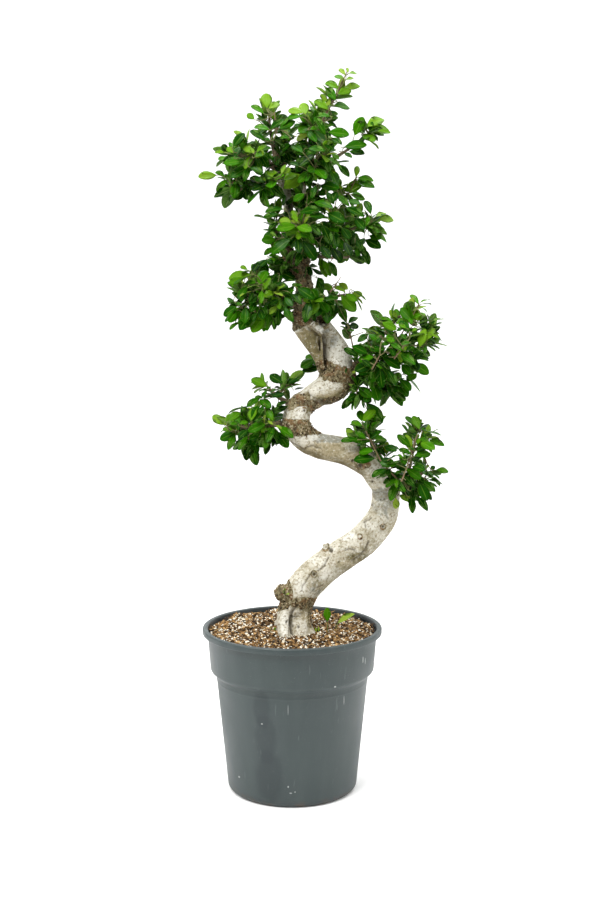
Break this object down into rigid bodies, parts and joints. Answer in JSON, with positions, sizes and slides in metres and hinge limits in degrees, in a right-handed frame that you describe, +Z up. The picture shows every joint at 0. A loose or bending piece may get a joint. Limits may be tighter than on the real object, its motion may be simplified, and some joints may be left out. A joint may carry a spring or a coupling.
{
  "type": "potted ficus bonsai tree",
  "caption": "Compact-leaved ficus trained as a tall S-shaped bonsai, with rounded pads of glossy leaves, growing in a round plastic nursery pot that stands on a flat base.",
  "frame": {"origin": "middle of the flat disc under the pot, on the surface that it stands on, on the axis of the pot", "axes": "+Z up along the pot axis, +X to the right and +Y away from someone who looks at the S of the trunk side on"},
  "size_m": [0.4138, 0.3, 1.1926],
  "materials": {
    "pot_plastic": "slate grey-green moulded polypropylene, satin, with fine scuffs and dust",
    "potting_mix": "loose brown bark and coir chips with white perlite grains, matt",
    "bark": "smooth cream-beige ficus bark with grey and olive patches, rough brown scar bands and creases",
    "foliage": "glossy leathery green leaves, deep green inside and yellow-green at the shoot tips, on thin brown twigs"
  },
  "bodies": {
    "root": {"pot": "pot_plastic", "soil": "potting_mix", "trunk": "bark", "crown_leader_spray_1": "foliage", "crown_leader_spray_2": "foliage", "crown_leader_spray_3": "foliage", "crown_leader_spray_4": "foliage", "crown_left_spray_1": "foliage", "crown_left_spray_2": "foliage", "crown_left_spray_3": "foliage", "crown_low_left_spray_1": "foliage", "crown_low_left_spray_2": "foliage", "crown_low_left_spray_3": "foliage", "crown_right_spray_1": "foliage", "crown_right_spray_2": "foliage", "crown_right_spray_3": "foliage", "crown_upper_left_spray_1": "foliage", "left_out_spray_1": "foliage", "left_out_spray_2": "foliage", "left_out_spray_3": "foliage", "left_out_spray_4": "foliage", "left_out_spray_5": "foliage", "left_right_spray_1": "foliage", "left_right_spray_2": "foliage", "left_right_spray_3": "foliage", "lower_left_out_spray_1": "foliage", "lower_left_out_spray_2": "foliage", "lower_left_out_spray_3": "foliage", "lower_left_out_spray_4": "foliage", "lower_left_out_spray_5": "foliage", "lower_left_up_spray_1": "foliage", "lower_left_up_spray_2": "foliage", "lower_right_out_spray_1": "foliage", "lower_right_out_spray_2": "foliage", "lower_right_out_spray_3": "foliage", "lower_right_out_spray_4": "foliage", "lower_right_tall_spray_1": "foliage", "lower_right_up_spray_1": "foliage", "lower_right_up_spray_2": "foliage", "middle_back_spray_1": "foliage", "middle_front_spray_1": "foliage", "middle_left_spray_1": "foliage", "middle_left_spray_2": "foliage", "middle_low_spray_1": "foliage", "middle_low_spray_2": "foliage", "middle_right_spray_1": "foliage", "middle_right_spray_2": "foliage", "middle_right_spray_3": "foliage", "right_down_spray_1": "foliage", "right_down_spray_2": "foliage", "right_out_spray_1": "foliage", "right_out_spray_2": "foliage", "right_out_spray_3": "foliage", "right_out_spray_4": "foliage", "right_up_spray_1": "foliage", "right_up_spray_2": "foliage", "right_up_spray_3": "foliage", "soil_shoot_arched": "foliage", "soil_shoot_upright": "foliage"}
  },
  "joints": []
}
